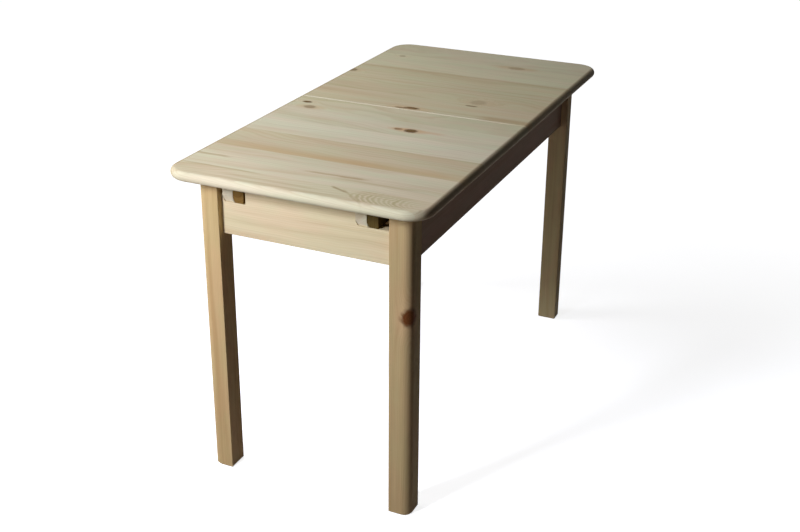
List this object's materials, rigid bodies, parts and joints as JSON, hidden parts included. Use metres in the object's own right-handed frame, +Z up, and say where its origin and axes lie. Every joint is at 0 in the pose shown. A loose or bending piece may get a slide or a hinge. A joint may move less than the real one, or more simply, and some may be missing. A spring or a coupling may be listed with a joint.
{
  "type": "extending dining table",
  "caption": "Small pine table on square legs, whose split top slides apart on grooved rails to take a stored insert leaf.",
  "frame": {"origin": "on the floor, under the middle of the closed table", "axes": "+X across the table, +Y along it, +Z up"},
  "size_m": [0.6, 1.2, 0.74],
  "materials": {
    "leg_near_left": "planed pine, clear matt seal",
    "leg_near_right": "planed pine, clear matt seal",
    "leg_far_right": "planed pine, clear matt seal",
    "leg_far_left": "planed pine, clear matt seal",
    "end_apron_near": "planed pine, clear matt seal",
    "end_apron_far": "planed pine, clear matt seal",
    "side_apron_left": "planed pine, clear matt seal",
    "side_apron_right": "planed pine, clear matt seal",
    "cross_rail_near": "sawn and planed softwood, toned brown, unfinished",
    "cross_rail_far": "sawn and planed softwood, toned brown, unfinished",
    "tie_rail_near": "sawn and planed softwood, toned brown, unfinished",
    "tie_rail_far": "sawn and planed softwood, toned brown, unfinished",
    "guide_rail_left": "planed pine, clear matt seal",
    "guide_rail_right": "planed pine, clear matt seal",
    "corner_block_near_left": "sawn and planed softwood, toned brown, unfinished",
    "corner_block_near_right": "sawn and planed softwood, toned brown, unfinished",
    "corner_block_far_right": "sawn and planed softwood, toned brown, unfinished",
    "corner_block_far_left": "sawn and planed softwood, toned brown, unfinished",
    "apron_dowels": "turned beech, unfinished",
    "cross_rail_dowels": "turned beech, unfinished",
    "corner_block_screws": "bright zinc plate",
    "leg_bolts": "bright zinc plate",
    "leg_bolt_washers": "bright zinc plate",
    "leg_bolt_nuts": "bright zinc plate",
    "guide_rail_screws": "bright zinc plate",
    "near_top_panel": "sanded pine boards, clear matt seal, knots",
    "near_runner_left": "sawn and planed softwood, toned brown, unfinished",
    "near_runner_right": "sawn and planed softwood, toned brown, unfinished",
    "near_runner_screws": "bright zinc plate",
    "near_stop_dowels": "turned beech, unfinished",
    "seam_pins": "turned beech, unfinished",
    "far_top_panel": "sanded pine boards, clear matt seal, knots",
    "far_runner_left": "sawn and planed softwood, toned brown, unfinished",
    "far_runner_right": "sawn and planed softwood, toned brown, unfinished",
    "far_runner_screws": "bright zinc plate",
    "far_stop_dowels": "turned beech, unfinished",
    "leaf_panel": "sanded pine boards, clear matt seal, knots",
    "leaf_pins": "turned beech, unfinished"
  },
  "bodies": {
    "frame": {"leg_near_left": "leg_near_left", "leg_near_right": "leg_near_right", "leg_far_right": "leg_far_right", "leg_far_left": "leg_far_left", "end_apron_near": "end_apron_near", "end_apron_far": "end_apron_far", "side_apron_left": "side_apron_left", "side_apron_right": "side_apron_right", "cross_rail_near": "cross_rail_near", "cross_rail_far": "cross_rail_far", "tie_rail_near": "tie_rail_near", "tie_rail_far": "tie_rail_far", "guide_rail_left": "guide_rail_left", "guide_rail_right": "guide_rail_right", "corner_block_near_left": "corner_block_near_left", "corner_block_near_right": "corner_block_near_right", "corner_block_far_right": "corner_block_far_right", "corner_block_far_left": "corner_block_far_left", "apron_dowels": "apron_dowels", "cross_rail_dowels": "cross_rail_dowels", "corner_block_screws": "corner_block_screws", "leg_bolts": "leg_bolts", "leg_bolt_washers": "leg_bolt_washers", "leg_bolt_nuts": "leg_bolt_nuts", "guide_rail_screws": "guide_rail_screws"},
    "near_half": {"near_top_panel": "near_top_panel", "near_runner_left": "near_runner_left", "near_runner_right": "near_runner_right", "near_runner_screws": "near_runner_screws", "near_stop_dowels": "near_stop_dowels", "seam_pins": "seam_pins"},
    "far_half": {"far_top_panel": "far_top_panel", "far_runner_left": "far_runner_left", "far_runner_right": "far_runner_right", "far_runner_screws": "far_runner_screws", "far_stop_dowels": "far_stop_dowels"},
    "leaf": {"leaf_panel": "leaf_panel", "leaf_pins": "leaf_pins"}
  },
  "joints": [
    {"name": "near_half_slide", "type": "slide", "parent": "frame", "child": "near_half", "axis": [0, -1, 0], "range_m": [0, 0.125]},
    {"name": "far_half_slide", "type": "slide", "parent": "frame", "child": "far_half", "axis": [0, 1, 0], "range_m": [0, 0.125]},
    {"name": "leaf_lift", "type": "slide", "parent": "frame", "child": "leaf", "axis": [0, 0, 1], "range_m": [0, 0.03]}
  ]
}
